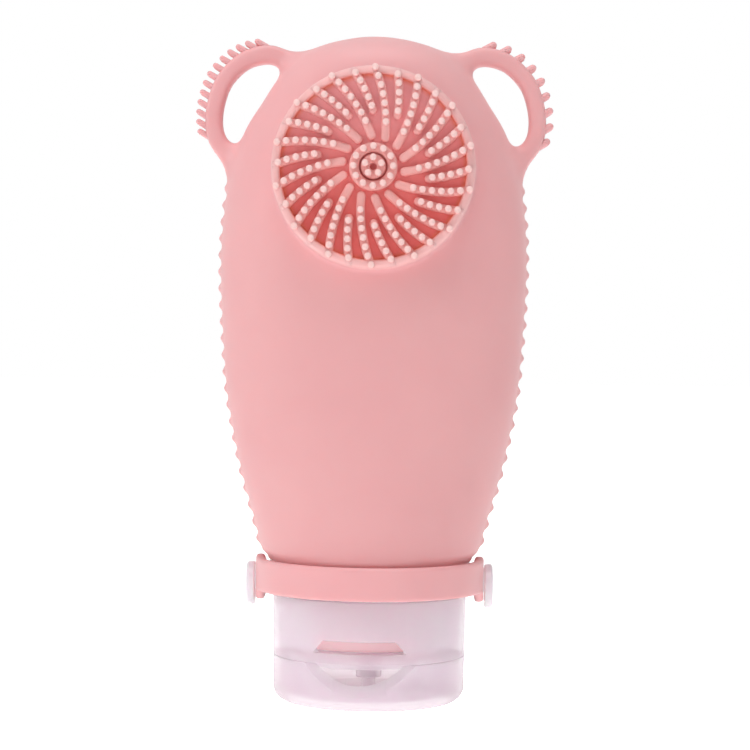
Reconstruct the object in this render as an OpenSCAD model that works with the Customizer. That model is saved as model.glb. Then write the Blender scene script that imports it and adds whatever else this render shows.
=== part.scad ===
// Travel dispenser bottle: a silicone squeeze bottle with two ear loops and a round
// brush, standing on its translucent flip-top cap, with a carrying strap on its collar.
// Z is up, X is to the right and the brush faces -Y. The origin is the centre of the
// face that the bottle stands on. Millimetres and degrees.

/* [Bottle] */
// Width of the silicone bottle, without its seam teeth
body_w = 59.8; // [56:0.2:64]
// Depth of the silicone bottle, without its brush
body_d = 31.6; // [30:0.2:35]
// Height of the silicone bottle above its collar
body_h = 102.5; // [98:0.5:108]
// Thickness of the silicone wall
wall_t = 2.5; // [2:0.1:3]
// Teeth along each side seam
tooth_count = 22; // [18:1:24]
// How far a tooth stands proud of the side
tooth_proud = 0.7; // [0.5:0.05:0.9]

/* [Ears] */
// Depth of an ear loop, front to back
ear_t = 5; // [4:0.1:6]
// Width of the band of an ear loop
ear_band_w = 3.5; // [3.1:0.1:4]
// Rows of rods across an ear, front to back
ear_rows = 2; // [1:1:2]
// Rods in a row on the left ear
left_rods = 13; // [9:1:14]
// Diameter of a rod on the left ear
left_rod_d = 1.2; // [0.9:0.05:1.3]
// How far a rod stands out of the left ear
left_rod_h = 2; // [1.4:0.1:2.4]
// Rods in a row on the right ear
right_rods = 9; // [7:1:10]
// Diameter of a rod on the right ear
right_rod_d = 1.55; // [1.2:0.05:1.7]
// How far a rod stands out of the right ear
right_rod_h = 1.6; // [1.2:0.1:2.2]

/* [Brush pad] */
// Diameter of the round brush pad
pad_d = 38.6; // [36:0.2:40]
// Thickness of the pad, from its seat to the top of its rim
pad_t = 2.6; // [2.2:0.1:3.2]
// Thickness of the floor of the pad
pad_floor_t = 0.6; // [0.4:0.1:1]
// Width of the rim
rim_w = 1.7; // [1.2:0.1:2]
// Distance of the rim face in front of the bottle's middle plane
pad_reach = 19; // [17.6:0.1:19.5]
// Height of the pad's centre above the bottom of the silicone bottle
pad_rise = 75.7; // [72:0.1:78]
// Backward lean of the pad
pad_lean = 3; // [0:0.5:5]
// Pairs of one long and one short rib
rib_pairs = 14; // [12:1:14]
// Width of a rib
rib_w = 1.7; // [1.4:0.05:1.8]
// Diameter of a nub
nub_d = 1.3; // [1:0.05:1.4]
// Height of a nub above its rib
nub_h = 1.5; // [1:0.1:2]
// Outer diameter of the ring round the hub
hub_ring_d = 9.2; // [8.8:0.1:9.4]

/* [Cap] */
// Diameter of the cap at its upper edge
cap_d = 38; // [37:0.2:38.8]
// Height of the closed cap, lid included
cap_h = 21; // [20:0.1:22.5]
// Height of the flip lid
lid_h = 9; // [8.4:0.1:9.6]
// Narrowing of the cap's radius from its upper edge to its foot
cap_draft = 0.3; // [0.1:0.05:0.5]
// Radius of the cap's lower corner
foot_round = 3; // [2:0.1:3.6]
// Thickness of the cap's outer skirt
skirt_t = 1.2; // [1:0.1:1.4]
// Thickness of the lid's wall
lid_wall = 1.4; // [1.2:0.1:1.6]
// Thickness of the lid's plate
lid_plate = 1.6; // [1.2:0.1:2]
// Thickness of the deck that carries the nozzle
deck_t = 1.9; // [1.5:0.1:2]
// Diameter of the nozzle
nozzle_d = 5; // [4.6:0.1:6]
// Diameter of the hole in the nozzle
nozzle_bore = 3.2; // [3:0.1:3.4]
// How far the nozzle reaches below the deck
nozzle_h = 4.8; // [4:0.1:5.2]
// Ribs round the threaded inner skirt
knurl_count = 120; // [90:2:130]
// Height of a rib of the inner skirt
knurl_h = 0.25; // [0.15:0.05:0.35]
// Width of the thumb window at its sill
window_w = 18; // [14:0.5:20]
// Height of the thumb window
window_h = 2.4; // [1.8:0.1:3]
// Depth of the scoop in the lid's front edge
scoop_h = 5.5; // [4:0.1:5.8]
// Turn of the closed cap about the bottle's axis
cap_clock = -5; // [-10:1:10]

/* [Hinge] */
// Diameter of the lid's hinge pin
pin_d = 1.5; // [1.2:0.1:1.8]
// Diameter of a hinge knuckle
knuckle_d = 3.8; // [3.4:0.1:4.2]
// Width of the middle knuckle
knuckle_w = 5.8; // [4:0.2:7]
// Width of each outer knuckle
side_knuckle_w = 3; // [2.4:0.2:3.6]

/* [Neck] */
// Diameter of the hole through the neck
neck_bore = 21.6; // [20:0.2:22]
// Wall of the threaded neck
neck_wall = 1.8; // [1.5:0.1:1.9]
// Pitch of the cap's thread
thread_pitch = 3.5; // [3.2:0.1:3.8]
// Height of a thread ridge
thread_h = 0.9; // [0.7:0.05:1]
// Turns of thread
thread_turns = 1.25; // [1:0.05:1.3]
// Thickness of the silicone valve's rim
valve_t = 1.9; // [1.5:0.1:2.2]
// Thickness of the silicone valve's slit skin
valve_skin = 0.8; // [0.6:0.1:1]
// Length of each of the valve's crossed slits
slit_l = 5; // [4:0.5:8]

/* [Collar and strap] */
// Height of the collar
collar_h = 6.1; // [5.8:0.1:6.6]
// Outer diameter of the collar
collar_d = 39.4; // [39:0.1:40]
// Thickness of the neck's flange under the collar
flange_t = 1; // [0.8:0.1:1.1]
// Height of the strap's band
strap_h = 6.3; // [6:0.1:7]
// Thickness of the strap's band
strap_t = 1.8; // [1.6:0.1:2.2]
// Gap between the strap's band and the collar
strap_gap = 0.9; // [0.8:0.05:1.2]
// Diameter of an eyelet of the strap
eyelet_d = 8.8; // [8.4:0.1:9.2]
// Height of the band's middle above the middle of its eyelets
strap_lift = 0.9; // [0:0.05:1]
// Diameter of a stud where the strap turns on it
stud_d = 4.8; // [4.4:0.1:5.2]
// Diameter of a stud's head
stud_head_d = 8.5; // [7.6:0.1:8.8]
// Thickness of a stud's head
stud_head_t = 1.6; // [1.2:0.1:2]
// How far the middle of a stud's head lies below the middle of its eyelet
stud_drop = 1.2; // [0:0.1:1.4]
// Diameter of the spigot that holds a stud in the collar
spigot_d = 2; // [1.8:0.1:2.6]

/* [Fits] */
// Gap between faces that rest on each other
seat_gap = 0.1; // [0.05:0.05:0.15]
// Gap round a pin or stud that turns
turn_gap = 0.06; // [0.04:0.01:0.08]
// Gap round pieces that pass each other
pass_gap = 0.3; // [0.25:0.01:0.35]

/* [Hidden] */
eps = 0.01;
round_fn = 64;
small_fn = 32;

pink = [0.93, 0.68, 0.69];
pale_pink = [0.96, 0.75, 0.75];
milky = [0.90, 0.84, 0.88, 0.75];

// Heights, from the resting face up
base_z = lid_h + seat_gap;
deck_z = base_z + seat_gap;
deck_top = deck_z + deck_t;
valve_z = deck_top + seat_gap;
valve_top = valve_z + valve_t;
neck_z = valve_top + seat_gap;
collar_z = cap_h + pass_gap;
collar_top = collar_z + collar_h;
flange_z = collar_z + flange_t;
body_z = collar_top + seat_gap;
crown_z = body_z + body_h;
spigot_cover = 0.4;
pivot_z = flange_z + seat_gap + spigot_cover + spigot_d / 2;

// Radii
cap_r = cap_d / 2;
foot_r = cap_r - cap_draft;
bore_r = neck_bore / 2;
neck_r = bore_r + neck_wall;
crest_r = neck_r + thread_h;
skirt_bore_r = crest_r + pass_gap;
inner_skirt_t = 1.35;
inner_skirt_r = skirt_bore_r + inner_skirt_t;
valve_r = skirt_bore_r - 2 * pass_gap;
collar_r = collar_d / 2;
sleeve_step = 0.4;
sleeve_r = neck_r + sleeve_step;
tail_in_r = sleeve_r + seat_gap;
tail_r = tail_in_r + wall_t;
collar_lip_t = 1.1;
flange_r = collar_r - collar_lip_t - seat_gap;
strap_in_r = collar_r + strap_gap;
strap_out_r = strap_in_r + strap_t;
bottle_foot_r = collar_r + seat_gap;
boss_depth = pad_reach - pad_t;
thread_fn = 24;
thread_foot_w = thread_pitch * 0.36;
thread_tip_w = thread_pitch * 0.2;
thread_sink = 0.2;
thread_z = neck_z + 0.5 + thread_foot_w / 2;
knuckle_r = knuckle_d / 2;
parting_r = foot_r + cap_draft * lid_h / cap_h;
hinge_out = 0.55;
hinge_y = parting_r + hinge_out;
knuckle_gap = 0.2;
pin_seat_gap = 0.02;
side_knuckle_x = knuckle_w / 2 + knuckle_gap + side_knuckle_w / 2;
snap_r = parting_r - lid_wall - 2 * pass_gap;
stud_seat_x = collar_r + seat_gap / 2;
stud_head_x = strap_out_r + 0.15;
edge_cut = 0.4;

// Rounded lower edge of the silicone bottle: how far it is drawn in, and share of the height
foot_edge = [[1.3, 0], [0.35, 0.005], [0, 0.012]];
// Shape of the silicone bottle below its widest point: share of the height, and how far
// the width and the depth have gone from the round foot to their full size
flare = [[0.018, 0.11, 0.02], [0.095, 0.33, 0.13], [0.171, 0.55, 0.37], [0.267, 0.76, 0.60],
         [0.36, 0.89, 0.79], [0.56, 1, 1]];
// Shape above it: share of the height, of the full width and of the full depth
crown = [[0.708, 0.963, 0.98], [0.807, 0.868, 0.94], [0.871, 0.742, 0.87], [0.927, 0.615, 0.76],
         [0.966, 0.47, 0.60], [0.99, 0.25, 0.33], [1, 0, 0]];
outer_sides = 44;
inner_sides = 32;
full_squareness = 2.35;
square_from = 0.3;
tooth_low = body_z + 0.037 * body_h;
tooth_high = body_z + 0.708 * body_h;
tooth_pitch = (tooth_high - tooth_low) / (tooth_count - 1);
tooth_half_y = 3;

// Middle line of the band of an ear loop as drawn on a bottle of the standard size, as
// distance from the axis, distance below the crown, and the band's width as a share
ear_line = [[13.5, 7.2, 1.3], [17.4, 4.8, 1.02], [21.3, 3.7, 1.04], [25.8, 5, 0.98],
            [29.5, 8.6, 0.97], [31.2, 12.8, 0.97], [31.7, 17, 0.97], [31, 20.4, 1],
            [28.7, 23.5, 1.08], [25.6, 26.4, 1.5]];
drawn_half_w = 29.9;
drawn_h = 102.5;
rod_rise = 30;
// Where along that line the rods begin and end, counted in its points
rods_from = 2.1;
rods_to = 6.9;
rod_root = 1.2;

// The ribs of the pad follow arcs: radius of the arc, distance of its centre from the
// pad's centre, and the direction of that centre
arc_r = 28.45;
arc_off = 27.3;
arc_dir = 163.4;
rib_foot_r = hub_ring_d / 2 + 0.9;
short_foot_r = 10.75;
long_nub_r = 8.6;
short_nub_r = 11.3;
nub_rim_inset = 0.6;
short_rim_inset = 1.34;
long_nubs = 7;
short_nubs = 5;
nub_root = 0.4;
rim_in = pad_d / 2 - rim_w;
hub_ring_w = 1.85;
hub_d = 4.7;
hub_hole_d = 1.4;
ring_nubs = 12;
hub_nubs = 5;
hub_nub_r = 1.6;

function spline_at(p, i, t) =
    let (a = p[max(i - 1, 0)], b = p[i], c = p[i + 1], d = p[min(i + 2, len(p) - 1)])
    0.5 * (2 * b + (c - a) * t + (2 * a - 5 * b + 4 * c - d) * t * t
           + (3 * b - 3 * c + d - a) * t * t * t);

function spline(p, steps) =
    concat([for (i = [0:len(p) - 2], k = [0:steps - 1]) spline_at(p, i, k / steps)],
           [p[len(p) - 1]]);

// Half width, half depth and height of the bottle's cross-sections, drawn in by inset
function body_line(inset) =
    let (r = bottle_foot_r, hw = body_w / 2, hd = body_d / 2,
         low = [for (s = flare) [r + (hw - r) * s[1], r + (hd - r) * s[2], s[0]]],
         high = [for (s = crown) [hw * s[1], hd * s[2], s[0]]],
         foot = [for (s = foot_edge) [r - s[0], r - s[0], s[1]]])
    [for (p = concat(foot, spline(concat(low, high), 2)))
        [p.x - min(inset, p.x / 2), p.y - min(inset, p.y / 2),
         body_z + inset + p.z * (body_h - 2 * inset)]];

// Squareness of the cross-section: a circle at the foot, a fuller oval above
function squareness(z) =
    2 + (full_squareness - 2) * min(1, (z - body_z) / (square_from * body_h));

function oval(p, n) =
    let (e = 2 / squareness(p.z))
    [for (k = [0:n - 1]) let (c = cos(360 * k / n), s = sin(360 * k / n))
        [p.x * sign(c) * pow(abs(c), e), p.y * sign(s) * pow(abs(s), e), p.z]];

// Half width of the bottle at a height
function half_width(z) =
    let (line = body_line(0),
         i = max([for (k = [0:len(line) - 2]) line[k].z <= z ? k : 0]),
         t = (z - line[i].z) / (line[i + 1].z - line[i].z))
    line[i].x + (line[i + 1].x - line[i].x) * t;

// Closed skin through rings of points; the last ring is a single point when tip is true
module skin(rings, tip = false) {
    n = len(rings[0]);
    m = len(rings) - (tip ? 1 : 0);
    body = [for (j = [0:m - 1]) each rings[j]];
    points = tip ? concat(body, [rings[m][0]]) : body;
    sides = [for (j = [0:m - 2], k = [0:n - 1])
        let (a = j * n + k, d = j * n + (k + 1) % n, b = a + n, c = d + n)
        each [[a, b, c], [a, c, d]]];
    low_end = [[for (k = [0:n - 1]) k]];
    top = (m - 1) * n;
    high_end = tip ? [for (k = [0:n - 1]) [top + k, m * n, top + (k + 1) % n]]
                   : [[for (k = [n - 1:-1:0]) top + k]];
    polyhedron(points, concat(low_end, sides, high_end), convexity = 8);
}

module body_skin(inset, sides) {
    skin([for (p = body_line(inset)) oval(p, sides)], tip = true);
}

module tube(r_out, r_in, h) {
    difference() {
        cylinder(r = r_out, h = h, $fn = round_fn);
        translate([0, 0, -eps]) cylinder(r = r_in, h = h + 2 * eps, $fn = round_fn);
    }
}

// One four-sided rod with a pointed end, along +Z
module strand(d, h) {
    r = d / 2 * 1.15;
    neck = h - d * 0.35;
    square_at = function (z, q) [for (k = [0:3]) [q * cos(90 * k + 45), q * sin(90 * k + 45), z]];
    skin([square_at(0, r), square_at(neck, r), [[0, 0, h]]], tip = true);
}

// One scallop of the side seam, fading into the side in front and behind
module seam_tooth(z) {
    r = tooth_pitch * 0.45;
    x = half_width(z);
    hull() {
        translate([x + tooth_proud - r, 0, z]) sphere(r = r, $fn = 8);
        for (s = [-1, 1])
            translate([x - r, s * tooth_half_y, z]) sphere(r = r / 3, $fn = 6);
    }
}

// Places and tilts what is drawn with the pad's seat centre at the origin and +Z outward
module at_pad() {
    translate([0, -boss_depth, body_z + pad_rise]) rotate([90 - pad_lean, 0, 0])
        children();
}

module bottle_body() {
    boss_root = boss_depth * 0.8;
    neck_room = 1;
    color(pink) difference() {
        union() {
            body_skin(0, outer_sides);
            at_pad() translate([0, 0, -boss_root])
                cylinder(d = pad_d, h = boss_root, $fn = round_fn);
            for (i = [0:tooth_count - 1], s = [0, 1]) mirror([s, 0, 0])
                seam_tooth(tooth_low + i * tooth_pitch);
            translate([0, 0, flange_z + seat_gap])
                cylinder(r = tail_r, h = body_z - flange_z, $fn = 48);
        }
        body_skin(wall_t, inner_sides);
        translate([0, 0, collar_z])
            cylinder(r = tail_in_r, h = body_z + wall_t + neck_room - collar_z, $fn = 48);
    }
}

// The ear's line on this bottle: X, Z and half the band's width
function ear_points() =
    [for (p = ear_line) [p[0] * body_w / 2 / drawn_half_w,
                         crown_z - p[1] * body_h / drawn_h, p[2] * ear_band_w / 2]];

module ear_bead(p) {
    translate([p[0], 0, p[1]]) scale([1, min(ear_t / 2 / p[2], 1.4), 1]) sphere(r = p[2], $fn = 12);
}

// Rods stand on the outer edge of the loop, all pointing the same way
module ear_loop(rods, rod_d, rod_h) {
    line = ear_points();
    row_gap = ear_t * 0.42;
    color(pale_pink) difference() {
        union() {
            for (i = [0:len(line) - 2]) hull() {
                ear_bead(line[i]);
                ear_bead(line[i + 1]);
            }
            for (k = [0:rods - 1], row = [0:ear_rows - 1]) {
                u = rods_from + (rods_to - rods_from) * k / (rods - 1);
                i = min(floor(u), len(line) - 2);
                p = spline_at(line, i, u - i);
                q = spline_at(line, i, u - i + 0.02);
                out = [p[1] - q[1], q[0] - p[0]] / norm([q[0] - p[0], q[1] - p[1]]);
                y = (row - (ear_rows - 1) / 2) * row_gap;
                translate([p[0] + out[0] * p[2], y, p[1] + out[1] * p[2]])
                    rotate([0, 90 - rod_rise, 0]) translate([0, 0, -rod_root])
                    strand(rod_d, rod_root + rod_h);
            }
        }
        body_skin(0, outer_sides);
    }
}

module ear_left() { mirror([1, 0, 0]) ear_loop(left_rods, left_rod_d, left_rod_h); }
module ear_right() { ear_loop(right_rods, right_rod_d, right_rod_h); }

// Direction of a rib's middle line at distance r from the pad's centre
function rib_angle(r) = arc_dir - acos((r * r + arc_off * arc_off - arc_r * arc_r) / (2 * r * arc_off));
function on_rib(r) = [r * cos(rib_angle(r)), r * sin(rib_angle(r))];

// A rib from radius r1 to radius r2, with nubs along it from radius n1 to radius n2
module pad_rib(r1, r2, links, n1, n2, nubs) {
    translate([0, 0, pad_floor_t / 2]) for (i = [0:links - 1]) hull() for (k = [i, i + 1])
        translate(on_rib(r1 + (r2 - r1) * k / links))
            cylinder(d = rib_w, h = pad_t - pad_floor_t / 2, $fn = 8);
    for (k = [0:nubs - 1]) translate(on_rib(n1 + (n2 - n1) * k / (nubs - 1))) nub(nub_d);
}

module nub(d) {
    translate([0, 0, pad_t - nub_root]) strand(d, nub_root + nub_h);
}

module brush_pad() {
    rib_end = rim_in + rim_w / 4;
    color(pale_pink) at_pad() {
        cylinder(d = pad_d, h = pad_floor_t, $fn = round_fn);
        tube(pad_d / 2, rim_in, pad_t);
        tube(hub_ring_d / 2, hub_ring_d / 2 - hub_ring_w, pad_t);
        tube(hub_d / 2, hub_hole_d / 2, pad_t);
        for (i = [0:rib_pairs - 1]) {
            rotate(i * 360 / rib_pairs)
                pad_rib(rib_foot_r, rib_end, 3, long_nub_r, pad_d / 2 - nub_rim_inset, long_nubs);
            rotate((i + 0.5) * 360 / rib_pairs)
                pad_rib(short_foot_r, rib_end, 2, short_nub_r, pad_d / 2 - short_rim_inset, short_nubs);
        }
        for (i = [0:ring_nubs - 1]) rotate(i * 360 / ring_nubs)
            translate([0, (hub_ring_d - hub_ring_w) / 2, 0]) nub(nub_d);
        for (i = [0:hub_nubs - 1]) rotate(i * 360 / hub_nubs)
            translate([0, hub_nub_r, 0]) nub(nub_d * 0.85);
    }
}

// A right-hand helical ridge from radius root to radius crest, starting at height z
module thread_ridge(root, crest, z) {
    steps = round(thread_fn * thread_turns);
    foot = thread_foot_w / 2;
    tip = thread_tip_w / 2;
    section = root < crest ? [[root, -foot], [root, foot], [crest, tip], [crest, -tip]]
                           : [[root, -foot], [crest, -tip], [crest, tip], [root, foot]];
    skin([for (i = [0:steps]) let (a = 360 * thread_turns * i / steps,
                                   up = thread_pitch * thread_turns * i / steps)
        [for (p = section) [p[0] * cos(a), p[0] * sin(a), z + up + p[1]]]]);
}

module neck_insert() {
    sleeve_top = body_z + wall_t + 2;
    color(milky) union() {
        rotate_extrude($fn = round_fn) polygon([
            [bore_r, neck_z], [neck_r - edge_cut, neck_z], [neck_r, neck_z + edge_cut],
            [neck_r, collar_z], [flange_r, collar_z], [flange_r, flange_z], [sleeve_r, flange_z],
            [sleeve_r, sleeve_top - edge_cut], [sleeve_r - edge_cut, sleeve_top], [bore_r, sleeve_top]]);
        thread_ridge(neck_r - thread_sink, crest_r, thread_z);
    }
}

module collar_ring() {
    step_z = flange_z + seat_gap;
    in_r = tail_r + seat_gap;
    color(milky) difference() {
        rotate_extrude($fn = round_fn) polygon([
            [flange_r + seat_gap, collar_z], [collar_r - edge_cut, collar_z],
            [collar_r, collar_z + edge_cut], [collar_r, collar_top - edge_cut],
            [collar_r - edge_cut, collar_top], [in_r, collar_top],
            [in_r, step_z], [flange_r + seat_gap, step_z]]);
        translate([0, 0, pivot_z]) rotate([0, 90, 0])
            cylinder(d = spigot_d + seat_gap, h = 3 * collar_r, center = true, $fn = small_fn);
    }
}

module strap_studs() {
    inner_x = tail_r + 0.6;
    head_edge = 0.5;
    head_r = stud_head_d / 2;
    head_end = stud_head_x + stud_head_t;
    color(milky) for (s = [0, 1]) mirror([s, 0, 0]) translate([0, 0, pivot_z]) rotate([0, 90, 0]) {
        rotate_extrude($fn = round_fn) polygon([
            [0, inner_x], [spigot_d / 2, inner_x], [spigot_d / 2, stud_seat_x],
            [stud_d / 2, stud_seat_x], [stud_d / 2, head_end - head_edge], [0, head_end - head_edge]]);
        translate([stud_drop, 0, 0]) rotate_extrude($fn = round_fn) polygon([
            [0, stud_head_x], [head_r, stud_head_x], [head_r, head_end - head_edge],
            [head_r - head_edge, head_end], [0, head_end]]);
    }
}

module carry_strap() {
    span = 3 * strap_out_r;
    color(pink) difference() {
        intersection() {
            translate([0, 0, collar_z - strap_h]) tube(strap_out_r, strap_in_r, 3 * strap_h);
            union() {
                translate([-span / 2, -span, pivot_z + strap_lift - strap_h / 2])
                    cube([span, span, strap_h]);
                translate([0, 0, pivot_z]) rotate([0, 90, 0])
                    cylinder(d = eyelet_d, h = span, center = true, $fn = round_fn);
            }
        }
        translate([0, 0, pivot_z]) rotate([0, 90, 0])
            cylinder(d = stud_d + 2 * turn_gap, h = span, center = true, $fn = round_fn);
    }
}

module slit_valve() {
    slit_w = 0.2;
    skin_r = bore_r - 0.6;
    color(pink) difference() {
        translate([0, 0, valve_z]) cylinder(r = valve_r, h = valve_t, $fn = round_fn);
        translate([0, 0, valve_z + valve_skin]) cylinder(r = skin_r, h = valve_t, $fn = round_fn);
        for (a = [0, 90]) rotate(a) translate([-slit_l / 2, -slit_w / 2, valve_z - 1])
            cube([slit_l, slit_w, valve_t + 2]);
    }
}

module knuckle(w) {
    translate([0, hinge_y, base_z]) rotate([0, 90, 0])
        cylinder(r = knuckle_r, h = w, center = true, $fn = round_fn);
}

module hinge_hole(gap) {
    translate([0, hinge_y, base_z]) rotate([0, 90, 0])
        cylinder(d = pin_d + 2 * gap, h = 4 * knuckle_w, center = true, $fn = small_fn);
}

// Free space round a knuckle, for the piece that it swings past
module knuckle_room(w) {
    translate([-w / 2 - knuckle_gap, hinge_y - knuckle_r - pass_gap, base_z - knuckle_r - pass_gap])
        cube([w + 2 * knuckle_gap, 3 * knuckle_r, 2 * (knuckle_r + pass_gap)]);
}

// The inner skirt is ribbed outside, and smooth behind the thumb window
module knurled_skirt() {
    n = 2 * knurl_count;
    smooth_half = 34;
    skirt_low = deck_top - seat_gap;
    skirt_top = cap_h - 0.5;
    ridge = [for (k = [0:n - 1]) let (a = 360 * k / n,
                                      smooth = min(a, 360 - a) < smooth_half,
                                      r = inner_skirt_r - (k % 2 == 0 || smooth ? knurl_h : 0))
        [r * sin(a), -r * cos(a)]];
    translate([0, 0, skirt_low]) linear_extrude(skirt_top - skirt_low) difference() {
        polygon(ridge);
        circle(r = skirt_bore_r, $fn = round_fn);
    }
}

// Opening in the outer skirt for a thumb nail, with slanted ends
module thumb_window() {
    slant = 2;
    translate([0, -cap_r + skirt_t + 1, deck_top + eps]) rotate([90, 0, 0])
        linear_extrude(skirt_t + 3) polygon([
            [-window_w / 2, 0], [window_w / 2, 0],
            [window_w / 2 - slant, window_h], [-window_w / 2 + slant, window_h]]);
}

module cap_base() {
    snap_h = 1.2;
    snap_t = 1;
    edge = 0.3;
    knuckle_root = 2.2;
    color(milky) {
        rotate(cap_clock) {
            difference() {
                union() {
                    rotate_extrude($fn = round_fn) polygon([
                        [0, deck_z], [snap_r - snap_t, deck_z], [snap_r - snap_t, deck_z - snap_h],
                        [snap_r, deck_z - snap_h], [snap_r, base_z], [parting_r, base_z],
                        [cap_r, cap_h - edge], [cap_r - edge, cap_h], [cap_r - skirt_t, cap_h],
                        [parting_r - skirt_t, deck_top], [0, deck_top]]);
                    translate([0, 0, deck_z - nozzle_h])
                        cylinder(d = nozzle_d, h = nozzle_h + eps, $fn = round_fn);
                    for (s = [-1, 1]) translate([s * side_knuckle_x, 0, 0]) {
                        knuckle(side_knuckle_w);
                        translate([-side_knuckle_w / 2, parting_r - knuckle_root, base_z])
                            cube([side_knuckle_w, hinge_out + knuckle_r + knuckle_root, knuckle_r]);
                    }
                }
                knuckle_room(knuckle_w);
                hinge_hole(pin_seat_gap);
                translate([0, 0, deck_z - nozzle_h - eps])
                    cylinder(d = nozzle_bore, h = nozzle_h + deck_t + 3 * eps, $fn = round_fn);
                thumb_window();
            }
            knurled_skirt();
        }
        thread_ridge(skirt_bore_r + thread_sink, neck_r + pass_gap, thread_z + thread_pitch / 2);
    }
}

module hinge_pin() {
    edge_in = 0.1;
    half_l = side_knuckle_x + side_knuckle_w / 2 - edge_in;
    color("silver") rotate(cap_clock) translate([0, hinge_y, base_z]) rotate([0, 90, 0])
        cylinder(d = pin_d, h = 2 * half_l, center = true, $fn = small_fn);
}

// Quarter round from the plate to the wall: centre x and y, radius
function quarter(x, y, r) = [for (a = [-90:15:0]) [x + r * cos(a), y + r * sin(a)]];
function backward(p) = [for (i = [len(p) - 1:-1:0]) p[i]];

module flip_lid() {
    inner_round = foot_round - lid_wall;
    plug_h = deck_z - nozzle_h + 1.8;
    plug_r = nozzle_bore / 2 - 0.2;
    plug_taper = 0.3;
    scoop_r = 75;
    scoop_rise = 55;
    tab_low = base_z - knuckle_r - 1;
    color(milky) rotate(cap_clock) difference() {
        union() {
            rotate_extrude($fn = round_fn) polygon(concat(
                [[0, 0]], quarter(foot_r - foot_round, foot_round, foot_round),
                [[parting_r, lid_h], [parting_r - lid_wall, lid_h]],
                backward(quarter(foot_r - foot_round, lid_plate + inner_round, inner_round)),
                [[0, lid_plate]]));
            cylinder(r1 = plug_r, r2 = plug_r - plug_taper, h = plug_h, $fn = round_fn);
            knuckle(knuckle_w);
            translate([-knuckle_w / 2, parting_r - lid_wall, tab_low])
                cube([knuckle_w, hinge_out + lid_wall, base_z - seat_gap - tab_low]);
        }
        for (s = [-1, 1]) translate([s * side_knuckle_x, 0, 0]) knuckle_room(side_knuckle_w);
        hinge_hole(turn_gap);
        translate([0, -parting_r, lid_h - scoop_h]) rotate([scoop_rise - 90, 0, 0])
            translate([0, -scoop_r, 0]) cylinder(r = scoop_r, h = 2 * lid_h, $fn = 240);
    }
}

bottle_body();
ear_left();
ear_right();
brush_pad();
neck_insert();
collar_ring();
strap_studs();
carry_strap();
slit_valve();
cap_base();
hinge_pin();
flip_lid();
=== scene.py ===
import math

import bmesh
import bpy
import numpy as np
from mathutils import Matrix, Vector


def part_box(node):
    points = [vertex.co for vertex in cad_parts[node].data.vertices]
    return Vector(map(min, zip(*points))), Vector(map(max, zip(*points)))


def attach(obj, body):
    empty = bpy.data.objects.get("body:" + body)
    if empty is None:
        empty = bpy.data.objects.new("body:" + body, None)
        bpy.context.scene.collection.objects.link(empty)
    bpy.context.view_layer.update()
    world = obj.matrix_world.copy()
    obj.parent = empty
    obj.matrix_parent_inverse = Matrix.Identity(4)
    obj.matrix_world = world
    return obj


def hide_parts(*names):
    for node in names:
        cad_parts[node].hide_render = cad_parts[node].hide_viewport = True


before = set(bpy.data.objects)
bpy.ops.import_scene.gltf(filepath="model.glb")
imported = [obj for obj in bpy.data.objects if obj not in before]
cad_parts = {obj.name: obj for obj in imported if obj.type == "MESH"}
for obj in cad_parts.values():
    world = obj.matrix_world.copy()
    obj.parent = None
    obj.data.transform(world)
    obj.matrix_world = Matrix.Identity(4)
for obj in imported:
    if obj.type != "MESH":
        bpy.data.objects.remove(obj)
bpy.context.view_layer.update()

# Travel bottle: soft silicone bottle with ear loops and a round brush, on a milky flip-top cap.
# Sizes below are in millimetres; the meshes are in metres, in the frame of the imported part.

mm = 0.001


def nodeBox(node):
    low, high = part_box(node)
    return low / mm, high / mm


# Heights and reaches that the pieces share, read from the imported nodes
collarLow, collarHigh = nodeBox("collar_ring")
bottleLow, bottleHigh = nodeBox("bottle_body")
capLow, capHigh = nodeBox("cap_base")
strapLow, strapHigh = nodeBox("carry_strap")
studHigh = nodeBox("strap_studs")[1]
print("frame: bottle", tuple(round(v, 2) for v in bottleHigh - bottleLow), "mm")


# Mesh helpers

def softEdges(obj, angle):
    # smooth shading, with a sharp edge wherever two faces meet at more than the angle
    bm = bmesh.new()
    bm.from_mesh(obj.data)
    for face in bm.faces:
        face.smooth = True
    for edge in bm.edges:
        edge.smooth = len(edge.link_faces) == 2 and edge.calc_face_angle(0) < math.radians(angle)
    bm.to_mesh(obj.data)
    bm.free()
    return obj


def newObject(name, data):
    obj = bpy.data.objects.new(name, data)
    bpy.context.scene.collection.objects.link(obj)
    return obj


def meshObject(name, points, faces, angle=40):
    mesh = bpy.data.meshes.new(name)
    mesh.from_pydata((np.asarray(points, float) * mm).tolist(), [], [list(f) for f in faces])
    mesh.update()
    return softEdges(newObject(name, mesh), angle)


def joinInto(obj, others):
    # adds the meshes of the others to the first one
    bm = bmesh.new()
    bm.from_mesh(obj.data)
    for other in others:
        bm.from_mesh(other.data)
        bpy.data.objects.remove(other)
    bm.to_mesh(obj.data)
    bm.free()
    return obj


def rounded(outline, steps=4):
    # corners are (x, y, radius); one with a radius becomes an arc
    made = []
    for i, (x, y, radius) in enumerate(outline):
        here = Vector((x, y))
        if radius == 0:
            made.append(here)
            continue
        back = (Vector(outline[i - 1][:2]) - here).normalized()
        on = (Vector(outline[(i + 1) % len(outline)][:2]) - here).normalized()
        half = back.angle(on) / 2
        centre = here + (back + on).normalized() * radius / math.sin(half)
        start = here + back * radius / math.tan(half) - centre
        end = here + on * radius / math.tan(half) - centre
        sweep = -start.angle_signed(end)
        for k in range(steps + 1):
            turn = math.atan2(start.y, start.x) + sweep * k / steps
            made.append(centre + radius * Vector((math.cos(turn), math.sin(turn))))
    return made


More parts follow.
